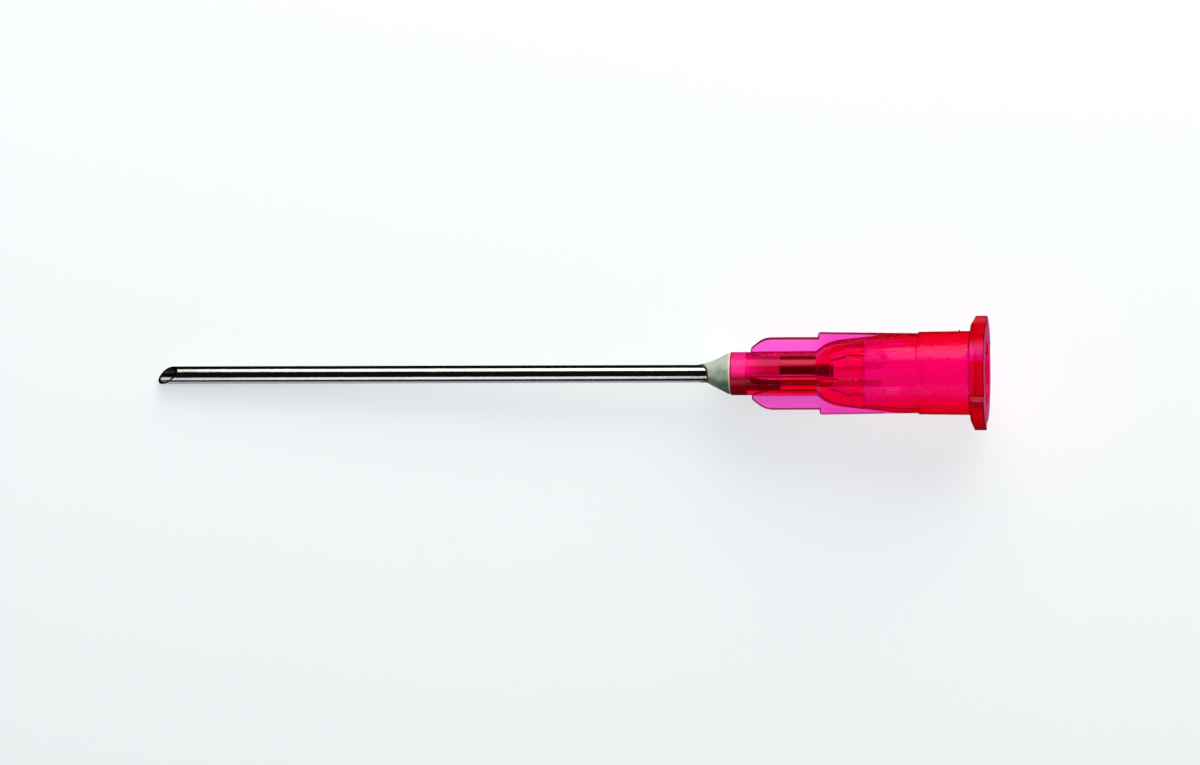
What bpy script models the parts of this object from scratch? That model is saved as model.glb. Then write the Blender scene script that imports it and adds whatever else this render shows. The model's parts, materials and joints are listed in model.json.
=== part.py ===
"""Drawing-up needle: a blunt steel cannula glued into a moulded plastic hub.

The needle is modelled standing on the open rear end of its hub, with its axis on Z and
its point up, so every height is a distance from that rear face. It is then laid down as
it comes to rest on a flat surface: on the rim of its flange, on the corner of one lug
and on the end of the cannula.
"""

import math

import bmesh
import bpy
from mathutils import Matrix, Vector

MM = 0.001

# Cannula: a thin-walled tube with a short bevel, its end standing free in the hub's funnel
CANNULA_DIAMETER = 1.2 * MM
CANNULA_WALL = 0.14 * MM
CANNULA_EXPOSED = 39.1 * MM
CANNULA_FREE_END = 0.8 * MM
BEVEL_ANGLE = math.radians(41)
BEVEL_FROM_LUG = math.radians(90)

# Hub, inside, from nose to rear: well for the adhesive, bore, funnel, chamber, Luer socket
WELL_DEPTH = 3.4 * MM
WELL_MOUTH_DEPTH = 1.08 * MM
WELL_RIM = 0.22 * MM
WELL_GLUE_WALL = 0.2 * MM
BORE_LENGTH = 2.8 * MM
FUNNEL_LENGTH = 1.8 * MM
CHAMBER_RADIUS = 1.17 * MM
CHAMBER_LENGTH = 1.1 * MM
SOCKET_DEPTH = 8.3 * MM
LUER_MOUTH_DIAMETER = 4.3 * MM
LUER_TAPER = 0.06
MOUTH_CHAMFER = 0.08 * MM
SEAT_CLEARANCE = 0.02 * MM

# Hub, outside: nose, round shoulder, long taper, body with a slightly thicker sleeve
NOSE_RADIUS = 1.49 * MM
NOSE_LENGTH = 5.85 * MM
NOSE_DRAFT = math.radians(0.3)
SHOULDER_RADIUS = 2.7 * MM
SHOULDER_STEEPEST = math.radians(45)
SHOULDER_SHALLOWEST = math.radians(7)
BODY_WALL = 0.7 * MM
BODY_DRAFT = math.radians(0.8)
BODY_FRONT_HEIGHT = 6.2 * MM
SLEEVE_HEIGHT = 4.65 * MM
SLEEVE_STEP = 0.1 * MM
NOSE_FILLET = 0.06 * MM
BODY_FILLET = 0.12 * MM

# Flange with two lugs that take the thread of a Luer lock
FLANGE_DIAMETER = 6.74 * MM
FLANGE_THICKNESS = 1.05 * MM
LUG_RISE = 0.545 * MM
LUG_WIDTH = 3.5 * MM
LUG_FLANK_ANGLE = math.radians(25)
LUG_FILLET = 0.06 * MM

# Fins from the nose to the sleeve, with a step in the crest
FIN_COUNT = 4
FIN_FROM_LUG = math.radians(42.5)
FIN_THICKNESS = 0.5 * MM
FIN_DRAFT = math.radians(1.5)
FIN_RADIUS = 2.86 * MM
FIN_CREST_FALL = math.radians(0.85)
FIN_STEP = 0.355 * MM
FIN_STEP_SETBACK = 5.98 * MM
FIN_STEP_FILLET = 0.13 * MM
FIN_FRONT_SETBACK = 1.4 * MM
FIN_FRONT_RISE = 0.31 * MM
FIN_FRONT_SLOPE = math.radians(38)
FIN_FRONT_FILLET = 1.5 * MM
FIN_TOE_FILLET = 0.2 * MM

# Adhesive: the cone that stands proud of the nose
CONE_HEIGHT = 1.66 * MM
CONE_RIM = 0.06 * MM
CONE_SHOULDER_DROP = 0.03 * MM
CONE_SHOULDER_HEIGHT = 0.2 * MM
CONE_FILLET = 0.3 * MM
FEATHER_EDGE = 0.02 * MM

# Fineness of the round shapes, the least angle that counts as an edge, and how far
# cutters run past what they cut
HUB_SIDES = 64
CANNULA_SIDES = 32
ARC_ERROR = 0.004 * MM
FILLET_SHARE = 0.45
SHARP_ANGLE = math.radians(35)
OVERCUT = 1.0 * MM

# Sizes that follow from the ones above
HUB_LENGTH = WELL_DEPTH + BORE_LENGTH + FUNNEL_LENGTH + CHAMBER_LENGTH + SOCKET_DEPTH
CANNULA_RADIUS = CANNULA_DIAMETER / 2
TIP_HEIGHT = HUB_LENGTH + CANNULA_EXPOSED
FOOT_HEIGHT = HUB_LENGTH - WELL_DEPTH - BORE_LENGTH - CANNULA_FREE_END
FLANGE_RADIUS = FLANGE_DIAMETER / 2
LUG_RADIUS = FLANGE_RADIUS + LUG_RISE
MOUTH_RADIUS = LUER_MOUTH_DIAMETER / 2
NOSE_FRONT_RADIUS = NOSE_RADIUS - NOSE_LENGTH * math.tan(NOSE_DRAFT)
WELL_MOUTH_RADIUS = NOSE_FRONT_RADIUS - WELL_RIM
WELL_RADIUS = CANNULA_RADIUS + WELL_GLUE_WALL
BORE_RADIUS = CANNULA_RADIUS + SEAT_CLEARANCE
SLEEVE_BACK_RADIUS = MOUTH_RADIUS + BODY_WALL
SLEEVE_FRONT_RADIUS = (SLEEVE_BACK_RADIUS
                       - (SLEEVE_HEIGHT - FLANGE_THICKNESS) * math.tan(BODY_DRAFT))
BODY_FRONT_RADIUS = (SLEEVE_FRONT_RADIUS - SLEEVE_STEP
                     - (BODY_FRONT_HEIGHT - SLEEVE_HEIGHT) * math.tan(BODY_DRAFT))

# The lug's corner and the flange's rim touch the surface together at this roll
REST_ROLL = -(math.acos(FLANGE_RADIUS / LUG_RADIUS) + math.asin(LUG_WIDTH / 2 / LUG_RADIUS))
REST_TILT = math.atan2(FLANGE_RADIUS - CANNULA_RADIUS, TIP_HEIGHT - FLANGE_THICKNESS)
# The flange's sides are turned so that it rests on the flat of one
FIRST_SIDE = math.pi / HUB_SIDES - math.pi - REST_ROLL


def clear_scene():
    for item in list(bpy.data.objects):
        bpy.data.objects.remove(item)


def new_collection(name):
    collection = bpy.data.collections.new(name)
    bpy.context.scene.collection.children.link(collection)
    return collection


def plain_material(name, colour, roughness, metallic=0.0, transmission=0.0):
    material = bpy.data.materials.new(name)
    material.use_nodes = True
    shader = material.node_tree.nodes["Principled BSDF"]
    shader.inputs["Base Color"].default_value = (*colour, 1.0)
    shader.inputs["Roughness"].default_value = roughness
    shader.inputs["Metallic"].default_value = metallic
    shader.inputs["Transmission Weight"].default_value = transmission
    return material


def arc(centre, spoke, turn):
    """Points on the arc that carries the end of a spoke through a signed turn."""
    finest = 2 * math.acos(max(0.0, 1 - ARC_ERROR / spoke.length))
    steps = math.ceil(abs(turn) / finest)
    points = []
    for step in range(steps + 1):
        spoke_turn = Matrix.Rotation(turn * step / steps, 2)
        points.append(centre + spoke_turn @ spoke)
    return points


def rounded(corners):
    """Outline through (x, y, fillet) corners. A fillet takes under half of each side."""
    points = []
    for index, (x, y, fillet) in enumerate(corners):
        corner = Vector((x, y))
        if fillet == 0:
            points.append(corner)
            continue
        back = Vector(corners[index - 1][:2]) - corner
        ahead = Vector(corners[(index + 1) % len(corners)][:2]) - corner
        turn = math.pi - back.angle(ahead)
        room = FILLET_SHARE * min(back.length, ahead.length)
        reach = min(fillet * math.tan(turn / 2), room)
        radius = reach / math.tan(turn / 2)
        start = corner + back.normalized() * reach
        inward = (back.normalized() + ahead.normalized()).normalized()
        centre = corner + inward * radius / math.cos(turn / 2)
        side = math.copysign(1.0, ahead.cross(back))
        points.extend(arc(centre, start - centre, side * turn))
    return points


def turned(name, profile, sides, first_side, closed_section=False):
    """Solid of revolution about Z, from (radius, height) points that run down its outside."""
    mesh = bpy.data.meshes.new(name)
    edges = [(index, index + 1) for index in range(len(profile) - 1)]
    if closed_section:
        edges.append((len(profile) - 1, 0))
    mesh.from_pydata([(radius, 0.0, height) for radius, height in profile], edges, [])
    body = bpy.data.objects.new(name, mesh)
    body.rotation_euler.z = first_side
    screw = body.modifiers.new("turn", "SCREW")
    screw.steps = sides
    screw.render_steps = sides
    screw.use_merge_vertices = True
    screw.merge_threshold = 0.001 * MM
    screw.use_smooth_shade = False
    return body


def plate(name, outline, thickness_at):
    """Flat outline in X and Y, thickened along Z to a thickness that may vary with X."""
    curve = bpy.data.curves.new(name, "CURVE")
    curve.dimensions = "2D"
    curve.fill_mode = "BOTH"
    curve.extrude = FIN_THICKNESS / 2
    spline = curve.splines.new("POLY")
    spline.points.add(len(outline) - 1)
    for point, (x, y) in zip(spline.points, outline):
        point.co = (x, y, 0.0, 1.0)
    spline.use_cyclic_u = True
    flat = bpy.data.objects.new(name, curve)
    bpy.context.scene.collection.objects.link(flat)
    evaluated = flat.evaluated_get(bpy.context.evaluated_depsgraph_get())
    mesh = bpy.data.meshes.new_from_object(evaluated)
    bpy.data.objects.remove(flat)
    solid = bmesh.new()
    solid.from_mesh(mesh)
    bmesh.ops.remove_doubles(solid, verts=solid.verts, dist=0.0001 * MM)
    for vert in solid.verts:
        vert.co.z = math.copysign(thickness_at(vert.co.x) / 2, vert.co.z)
    bmesh.ops.recalc_face_normals(solid, faces=solid.faces)
    solid.to_mesh(mesh)
    solid.free()
    return bpy.data.objects.new(name, mesh)


def block(name, size, matrix):
    """Box of the given size, moved by a matrix."""
    solid = bmesh.new()
    bmesh.ops.create_cube(solid, size=1.0, matrix=matrix @ Matrix.Diagonal((*size, 1.0)))
    mesh = bpy.data.meshes.new(name)
    solid.to_mesh(mesh)
    solid.free()
    return bpy.data.objects.new(name, mesh)


def add_boolean(body, operation, operand):
    """Boolean with one object or with every object in a collection."""
    boolean = body.modifiers.new(operation.lower(), "BOOLEAN")
    boolean.operation = operation
    boolean.solver = "EXACT"
    if isinstance(operand, bpy.types.Collection):
        boolean.operand_type = "COLLECTION"
        boolean.collection = operand
    else:
        boolean.object = operand


def finish(piece, material):
    """Modifiers applied, round faces shaded smooth and real edges kept sharp."""
    evaluated = piece.evaluated_get(bpy.context.evaluated_depsgraph_get())
    piece.data = bpy.data.meshes.new_from_object(evaluated)
    piece.modifiers.clear()
    piece.data.shade_smooth()
    piece.data.set_sharp_from_angle(angle=SHARP_ANGLE)
    piece.data.materials.append(material)


def keep_as_tool(tool, collection, rest):
    """A cutter or blank: seen as wire, never rendered, and laid down with the needle."""
    collection.objects.link(tool)
    tool.parent = rest
    tool.hide_render = True
    tool.display_type = "WIRE"


def hub_outside():
    """Profile of the hub without its fins, from the nose to the rear face.

    The flange is as wide here as its lugs, all the way round.
    """
    shoulder_height = HUB_LENGTH - NOSE_LENGTH
    flank_fall = LUG_RISE * math.tan(LUG_FLANK_ANGLE)
    spoke = Vector((math.cos(SHOULDER_STEEPEST), math.sin(SHOULDER_STEEPEST))) * SHOULDER_RADIUS
    nose_end = Vector((NOSE_RADIUS, shoulder_height))
    shoulder = arc(nose_end - spoke, spoke, SHOULDER_SHALLOWEST - SHOULDER_STEEPEST)
    nose = rounded([
        (0.0, HUB_LENGTH, 0),
        (NOSE_FRONT_RADIUS, HUB_LENGTH, NOSE_FILLET),
        (*nose_end, 0),
    ])
    rear = rounded([
        (*shoulder[-1], 0),
        (BODY_FRONT_RADIUS, BODY_FRONT_HEIGHT, 0),
        (SLEEVE_FRONT_RADIUS - SLEEVE_STEP, SLEEVE_HEIGHT + SLEEVE_STEP / 2, 0),
        (SLEEVE_FRONT_RADIUS, SLEEVE_HEIGHT - SLEEVE_STEP / 2, 0),
        (SLEEVE_BACK_RADIUS, FLANGE_THICKNESS, BODY_FILLET),
        (FLANGE_RADIUS, FLANGE_THICKNESS, 0),
        (LUG_RADIUS, FLANGE_THICKNESS - flank_fall, LUG_FILLET),
        (LUG_RADIUS, 0.0, LUG_FILLET),
        (0.0, 0.0, 0),
    ])
    return nose + shoulder[1:] + rear[1:]


def hub_passage():
    """Profile of the way through the hub, from the adhesive's well to the Luer socket."""
    well_floor = HUB_LENGTH - WELL_DEPTH
    chamber_top = SOCKET_DEPTH + CHAMBER_LENGTH
    socket_floor_radius = MOUTH_RADIUS - SOCKET_DEPTH * LUER_TAPER / 2
    chamfer_top_radius = MOUTH_RADIUS - MOUTH_CHAMFER * LUER_TAPER / 2
    chamfer_end_radius = chamfer_top_radius + MOUTH_CHAMFER + OVERCUT
    return [
        (0.0, HUB_LENGTH + OVERCUT),
        (WELL_MOUTH_RADIUS, HUB_LENGTH + OVERCUT),
        (WELL_MOUTH_RADIUS, HUB_LENGTH - WELL_MOUTH_DEPTH),
        (WELL_RADIUS, HUB_LENGTH - WELL_MOUTH_DEPTH),
        (WELL_RADIUS, well_floor),
        (BORE_RADIUS, well_floor),
        (BORE_RADIUS, well_floor - BORE_LENGTH),
        (CHAMBER_RADIUS, chamber_top),
        (CHAMBER_RADIUS, SOCKET_DEPTH),
        (socket_floor_radius, SOCKET_DEPTH),
        (chamfer_top_radius, MOUTH_CHAMFER),
        (chamfer_end_radius, -OVERCUT),
        (0.0, -OVERCUT),
    ]


def fin_outline():
    """Side view of one fin, as (radius, height), from its rounded front to in the sleeve."""
    root = CANNULA_RADIUS
    front = HUB_LENGTH - FIN_FRONT_SETBACK
    step = HUB_LENGTH - FIN_STEP_SETBACK
    tail = SLEEVE_HEIGHT - SLEEVE_STEP
    front_radius = FIN_RADIUS - FIN_STEP
    toe_radius = NOSE_RADIUS + FIN_FRONT_RISE
    slope_length = (front_radius - toe_radius) / math.tan(FIN_FRONT_SLOPE)
    tail_radius = FIN_RADIUS - (step - tail) * math.tan(FIN_CREST_FALL)
    return rounded([
        (root, front, 0),
        (toe_radius, front, FIN_TOE_FILLET),
        (front_radius, front - slope_length, FIN_FRONT_FILLET),
        (front_radius, step, FIN_STEP_FILLET),
        (FIN_RADIUS, step, FIN_STEP_FILLET),
        (tail_radius, tail, 0),
        (root, tail, 0),
    ])


def make_hub(rest, parts, cutters, fins):
    # Half a side off its cutters, so that none of their edges meets an edge of its ends
    hub = turned("hub", hub_outside(), HUB_SIDES, FIRST_SIDE + math.pi / HUB_SIDES)
    parts.objects.link(hub)

    def fin_thickness(radius):
        return FIN_THICKNESS - 2 * (radius - NOSE_RADIUS) * math.tan(FIN_DRAFT)

    for index in range(FIN_COUNT):
        fin = plate(f"fin_blank_{index + 1}", fin_outline(), fin_thickness)
        angle = FIN_FROM_LUG + index * math.tau / FIN_COUNT
        fin.rotation_euler = (math.pi / 2, 0.0, angle)
        keep_as_tool(fin, fins, rest)

    # What the lugs leave free is cut away down to the flange
    gap_top = FLANGE_THICKNESS + OVERCUT
    lug_gaps = turned("lug_gaps", [
        (FLANGE_RADIUS, gap_top),
        (LUG_RADIUS + OVERCUT, gap_top),
        (LUG_RADIUS + OVERCUT, -OVERCUT),
        (FLANGE_RADIUS, -OVERCUT),
    ], HUB_SIDES, FIRST_SIDE, closed_section=True)
    bar_size = (4 * LUG_RADIUS, LUG_WIDTH, 4 * gap_top)
    bar = block("lug_bar", bar_size, Matrix.Identity(4))
    keep_as_tool(bar, cutters, rest)
    add_boolean(lug_gaps, "DIFFERENCE", bar)
    keep_as_tool(lug_gaps, cutters, rest)

    passage = turned("passage", hub_passage(), HUB_SIDES, FIRST_SIDE)
    keep_as_tool(passage, cutters, rest)
    add_boolean(hub, "UNION", fins)
    add_boolean(hub, "DIFFERENCE", lug_gaps)
    add_boolean(hub, "DIFFERENCE", passage)
    return hub


def make_cannula(rest, parts, cutters):
    inner_radius = CANNULA_RADIUS - CANNULA_WALL
    blank_end = TIP_HEIGHT + OVERCUT
    cannula = turned("cannula", [
        (inner_radius, blank_end),
        (CANNULA_RADIUS, blank_end),
        (CANNULA_RADIUS, FOOT_HEIGHT),
        (inner_radius, FOOT_HEIGHT),
    ], CANNULA_SIDES, BEVEL_FROM_LUG, closed_section=True)
    parts.objects.link(cannula)

    # The cutter's lower face is the bevel: it passes through the point, on the far side
    facing = Vector((math.cos(BEVEL_FROM_LUG), math.sin(BEVEL_FROM_LUG), 0.0))
    outward = facing * math.cos(BEVEL_ANGLE) + Vector((0.0, 0.0, math.sin(BEVEL_ANGLE)))
    point = Vector((0.0, 0.0, TIP_HEIGHT)) - facing * CANNULA_RADIUS
    width = 8 * CANNULA_DIAMETER
    turn = outward.to_track_quat("Z", "Y").to_matrix().to_4x4()
    place = Matrix.Translation(point + outward * width / 2) @ turn
    cutter = block("bevel", (width, width, width), place)
    keep_as_tool(cutter, cutters, rest)
    add_boolean(cannula, "DIFFERENCE", cutter)
    return cannula


def make_adhesive(parts):
    """The cured drop: it fills the well and rises up the cannula in a cone."""
    inner = CANNULA_RADIUS + SEAT_CLEARANCE
    collar = NOSE_FRONT_RADIUS - CONE_RIM
    outside = rounded([
        (inner + FEATHER_EDGE, HUB_LENGTH + CONE_HEIGHT, 0),
        (collar - CONE_SHOULDER_DROP, HUB_LENGTH + CONE_SHOULDER_HEIGHT, CONE_FILLET),
        (collar, HUB_LENGTH + SEAT_CLEARANCE, 0),
    ])
    mouth = WELL_MOUTH_RADIUS - SEAT_CLEARANCE
    well = WELL_RADIUS - SEAT_CLEARANCE
    mouth_floor = HUB_LENGTH - WELL_MOUTH_DEPTH + SEAT_CLEARANCE
    well_floor = HUB_LENGTH - WELL_DEPTH + SEAT_CLEARANCE
    profile = [(inner, HUB_LENGTH + CONE_HEIGHT), *outside]
    profile += [
        (mouth, HUB_LENGTH + SEAT_CLEARANCE),
        (mouth, mouth_floor),
        (well, mouth_floor),
        (well, well_floor),
        (inner, well_floor),
    ]
    adhesive = turned("adhesive", profile, HUB_SIDES, FIRST_SIDE, closed_section=True)
    parts.objects.link(adhesive)
    return adhesive


def world_corners(pieces):
    """Lowest and highest coordinates of the finished pieces."""
    points = [piece.matrix_world @ vert.co for piece in pieces for vert in piece.data.vertices]
    low = Vector([min(point[axis] for point in points) for axis in range(3)])
    high = Vector([max(point[axis] for point in points) for axis in range(3)])
    return low, high


def lay_down(rest, pieces):
    """Point towards -X and slightly down, then centred, with the lowest point at Z = 0."""
    tilt = Matrix.Rotation(-math.pi / 2 - REST_TILT, 4, "Y")
    lying = tilt @ Matrix.Rotation(REST_ROLL, 4, "Z")
    rest.matrix_world = lying
    bpy.context.view_layer.update()
    low, high = world_corners(pieces)
    middle = (low + high) / 2
    rest.matrix_world = Matrix.Translation((-middle.x, -middle.y, -low.z)) @ lying
    bpy.context.view_layer.update()


def main():
    clear_scene()
    parts = new_collection("drawing_up_needle")
    fins = new_collection("fin_blanks")
    cutters = new_collection("cutters")
    rest = bpy.data.objects.new("rest_pose", None)
    bpy.context.scene.collection.objects.link(rest)

    hub = make_hub(rest, parts, cutters, fins)
    cannula = make_cannula(rest, parts, cutters)
    adhesive = make_adhesive(parts)
    red_plastic = plain_material("red_polypropylene", (0.78, 0.0, 0.10), 0.22, transmission=0.6)
    finish(hub, red_plastic)
    finish(cannula, plain_material("stainless_steel", (0.78, 0.79, 0.80), 0.16, metallic=1.0))
    finish(adhesive, plain_material("cured_epoxy", (0.46, 0.55, 0.47), 0.30))
    pieces = (hub, cannula, adhesive)
    for piece in pieces:
        piece.parent = rest
    lay_down(rest, pieces)


main()
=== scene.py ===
"""Looks of a drawing-up needle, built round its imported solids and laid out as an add-on.

Each piece is a surface worked out on a grid of two parameters. In the needle's own frame
a point has a radius from the axis, a turn about it from the middle of one lug, and a
height above the open rear face of the hub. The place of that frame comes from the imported
part, so every surface lies on the solid that it stands for.
"""

import json
import math

import bpy
import numpy as np
from bpy.props import FloatProperty, FloatVectorProperty, PointerProperty
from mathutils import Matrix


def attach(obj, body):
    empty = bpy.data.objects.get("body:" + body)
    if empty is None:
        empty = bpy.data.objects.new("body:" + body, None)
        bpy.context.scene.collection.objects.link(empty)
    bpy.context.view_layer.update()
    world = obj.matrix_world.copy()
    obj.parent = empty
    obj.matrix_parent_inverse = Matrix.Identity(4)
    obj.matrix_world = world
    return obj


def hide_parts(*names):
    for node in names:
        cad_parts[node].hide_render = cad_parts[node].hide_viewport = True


bl_info = {
    "name": "Drawing-up needle",
    "version": (1, 0, 0),
    "blender": (4, 5, 0),
    "location": "3D View > Sidebar > Needle",
    "description": "Steel cannula, moulded hub and adhesive of a drawing-up needle",
    "category": "Add Mesh",
}

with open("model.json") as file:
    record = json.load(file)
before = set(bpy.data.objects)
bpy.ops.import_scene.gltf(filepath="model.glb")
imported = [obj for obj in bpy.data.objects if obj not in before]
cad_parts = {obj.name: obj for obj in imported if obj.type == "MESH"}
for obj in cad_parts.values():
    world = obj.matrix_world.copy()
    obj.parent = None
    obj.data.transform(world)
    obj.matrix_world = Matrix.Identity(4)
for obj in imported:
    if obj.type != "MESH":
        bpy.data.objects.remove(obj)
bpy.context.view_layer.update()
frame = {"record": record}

MM = 0.001

# The needle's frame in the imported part: the axis leaves the rear face square to it, below
# the point that the record gives for that face
REAR_FACE = frame["record"]["mounts"][0]
REAR_POINT_RADIUS = 2.8 * MM
ALONG = -np.array(REAR_FACE["axis"])
SIDEWAYS = np.array((0.0, 1.0, 0.0))
UPWARDS = np.cross(SIDEWAYS, ALONG)
FOOT_OF_AXIS = np.array(REAR_FACE["pos_m"]) - REAR_POINT_RADIUS * UPWARDS

CANNULA_DIAMETER = 1.2 * MM
FILLET_SHARE = 0.4
CONTACT_OVERLAP = 0.006 * MM
SHARP_ANGLE = math.radians(38)


def length_property(name, description, default):
    return FloatProperty(name=name, description=description, default=default, min=0.0,
                         unit="LENGTH", precision=5)


def angle_property(name, description, degrees):
    return FloatProperty(name=name, description=description, default=math.radians(degrees),
                         subtype="ANGLE")


def share_property(name, description, default):
    return FloatProperty(name=name, description=description, default=default, min=0.0, max=1.0,
                         subtype="FACTOR")


def amount_property(name, description, default):
    return FloatProperty(name=name, description=description, default=default, min=0.0)


def colour_property(name, description, default):
    return FloatVectorProperty(name=name, description=description, default=default, size=3,
                               min=0.0, max=1.0, subtype="COLOR")


class CannulaSettings(bpy.types.PropertyGroup):
    diameter: length_property("Diameter", "Outside diameter of the tube", CANNULA_DIAMETER)
    wall: length_property("Wall", "Thickness of the tube's wall", 0.14 * MM)
    exposed: length_property("Exposed length", "From the hub's nose to the point", 39.1 * MM)
    seated: length_property("Seated length", "From the hub's nose to the end inside", 7.0 * MM)
    bevel: angle_property("Bevel", "Between the bevel and the axis", 41)
    bevel_turn: angle_property("Bevel's turn", "From the first lug to where it faces", 90)
    edge: length_property("Edge radius", "Rounding of the ground edges", 0.012 * MM)
    colour: colour_property("Colour", "Colour of the drawn steel", (0.74, 0.73, 0.72))
    roughness: share_property("Roughness", "Roughness of the drawn steel", 0.13)


class HubSettings(bpy.types.PropertyGroup):
    length: length_property("Length", "From the rear face to the nose", 17.4 * MM)
    nose_radius: length_property("Nose radius", "Where the nose meets the shoulder", 1.49 * MM)
    nose_length: length_property("Nose length", "From the nose face to the shoulder", 5.85 * MM)
    shoulder_radius: length_property("Shoulder radius", "Of the arc behind the nose", 2.7 * MM)
    body_wall: length_property("Wall", "Plastic between the socket's mouth and the outside",
                               0.7 * MM)
    mouth_diameter: length_property("Socket mouth", "Diameter of the Luer socket's mouth",
                                    4.3 * MM)
    flange_diameter: length_property("Flange", "Diameter of the flange", 6.74 * MM)
    flange_thickness: length_property("Flange thickness", "Along the axis", 1.05 * MM)
    lug_rise: length_property("Lug rise", "Of a lug above the flange", 0.545 * MM)
    lug_width: length_property("Lug width", "Between a lug's end walls", 3.5 * MM)
    fin_thickness: length_property("Fin thickness", "At the fin's root", 0.5 * MM)
    fin_radius: length_property("Fin radius", "Of the higher part of the crest", 2.86 * MM)
    fin_step: length_property("Fin step", "Between the crest's two heights", 0.355 * MM)
    fin_turn: angle_property("Fin turn", "From a lug to the first fin", 42.5)
    edge: length_property("Edge radius", "Rounding of the moulding's edges", 0.05 * MM)
    tint: colour_property("Tint", "Colour that each surface gives the light", (1.0, 1.0, 1.0))
    fin_tint: colour_property("Fin tint", "The same behind the fins' step", (1.0, 0.5, 0.8))
    body_tint: colour_property("Body tint", "The same for the body", (1.0, 0.8, 0.9))
    # Painted shade along the body's sides, where its edges look dark
    side_painted_shade: colour_property("Edge tint", "The same for the body's sides", (0.95, 0.6, 0.05))
    # Painted shade on the nose's lower half, on the side away from the key light, and behind the
    # well
    nose_painted_shade: colour_property("Nose tint", "The same for the nose", (0.85, 0.4, 0.08))
    # Painted shade: dark outlines along the fins' crests, steps and fronts and the nose's front
    # edge
    outline_painted_shade: colour_property("Crest tint", "The same for the fins' crests", (0.22, 0.04, 0.02))
    inner_tint: colour_property("Inner tint", "The same for the socket", (1.0, 0.5, 0.5))
    flange_tint: colour_property("Flange tint", "The same for the flange", (1.0, 0.2, 0.45))
    band_tint: colour_property("Flange band", "The same where light from the body reaches it",
                               (1.0, 0.35, 0.8))
    pigment: colour_property("Pigment", "Colour that the thick flange scatters",
                             (0.3, 0.0, 0.008))
    band_pigment: colour_property("Band pigment", "The same in its band", (0.5, 0.0, 0.16))
    rear_pigment: colour_property("Rear pigment", "The same on its rear face",
                                  (1.0, 0.12, 0.3))
    # Painted glow: emission that stands for light the pigment scatters, in all the plastic, the
    # flange and its rear face
    glow: colour_property("Glow", "Light that the pigment scatters", (0.025, 0.0, 0.002))
    flange_painted_glow: colour_property("Flange glow", "The same in the flange", (0.33, 0.0, 0.004))
    rear_painted_glow: colour_property("Rear glow", "The same on its rear face", (0.25, 0.03, 0.12))
    gloss_tint: colour_property("Gloss tint", "Colour of what its gloss reflects",
                                (1.0, 0.35, 0.8))
    steel_tint: colour_property("Steel in it", "Colour of the steel inside the plastic",
                                (1.0, 0.15, 0.2))
    depth_colour: colour_property("Depth colour", "Colour of light that has gone deep",
                                  (0.9955, 0.0, 0.83))
    depth: amount_property("Absorption", "Absorption for each metre of plastic", 4400.0)
    roughness: share_property("Roughness", "Roughness of the moulded surface", 0.07)


class AdhesiveSettings(bpy.types.PropertyGroup):
    height: length_property("Height", "Of the cone above the nose", 1.66 * MM)
    shoulder: length_property("Shoulder height", "Where the cone's slope changes", 0.2 * MM)
    creep: length_property("Creep", "How unevenly the drop crept up the tube", 0.05 * MM)
    run: length_property("Run", "How far it ran along one side of the tube", 0.55 * MM)
    colour: colour_property("Colour", "Colour of the cured resin", (0.42, 0.46, 0.37))
    # Painted shade on the side of the cone away from the key light
    shade: colour_property("Shade", "Colour of its deeper parts", (0.13, 0.19, 0.13))
    # Painted highlight along the resin's rim at the nose
    rim_painted_highlight: colour_property("Rim", "Colour of its bright rim", (0.8, 0.56, 0.44))
    # Painted shade in a patch on the side away from the key light
    patch_painted_shade: colour_property("Patch", "Colour of its dark side", (0.05, 0.16, 0.10))
    edge_colour: colour_property("Edge", "Colour of its thin edge", (0.03, 0.035, 0.03))
    mouth_colour: colour_property("Mouth", "Colour of it at the well's mouth",
                                  (0.9, 0.06, 0.28))
    well_colour: colour_property("Well", "Colour of what fills the well", (0.5, 0.006, 0.045))
    # Painted shade on the well's filling, on the side away from the key light
    well_painted_shade: colour_property("Deep well", "The same on its far side", (0.35, 0.0, 0.0))
    roughness: share_property("Roughness", "Roughness of the cured resin", 0.34)


class StageSettings(bpy.types.PropertyGroup):
    floor_colour: colour_property("Floor", "Colour of the pale floor", (0.9, 0.9, 0.9))
    key_power: amount_property("Key", "Radiance of the large softbox", 2.2)
    key_colour: colour_property("Key colour", "Colour of its light", (1.0, 0.95, 0.87))
    fill_power: amount_property("Fill", "Radiance of the small softbox", 1.35)
    room_power: amount_property("Room", "Radiance of the soft light from above", 2.36)
    room_colour: colour_property("Room colour", "Colour of its light", (0.92, 0.97, 1.0))
    card_colour: colour_property("Card", "Colour of the card that the cannula's lower side "
                                 "reflects", (0.48, 0.47, 0.53))
    view_width: length_property("View width", "Width that the camera sees", 81.36 * MM)
    distance: length_property("Distance", "From the camera to the needle", 1.5)


def smooth_step(share):
    """An S curve from 0 to 1: three squares less two cubes of the share, held at the ends."""
    share = np.clip(share, 0.0, 1.0)
    return share * share * (3 - 2 * share)


def mixed(start, end, share):
    """The point that lies that share of the way from start to end."""
    return start + (end - start) * share


def unit(vector):
    return vector / np.linalg.norm(vector)


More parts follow.
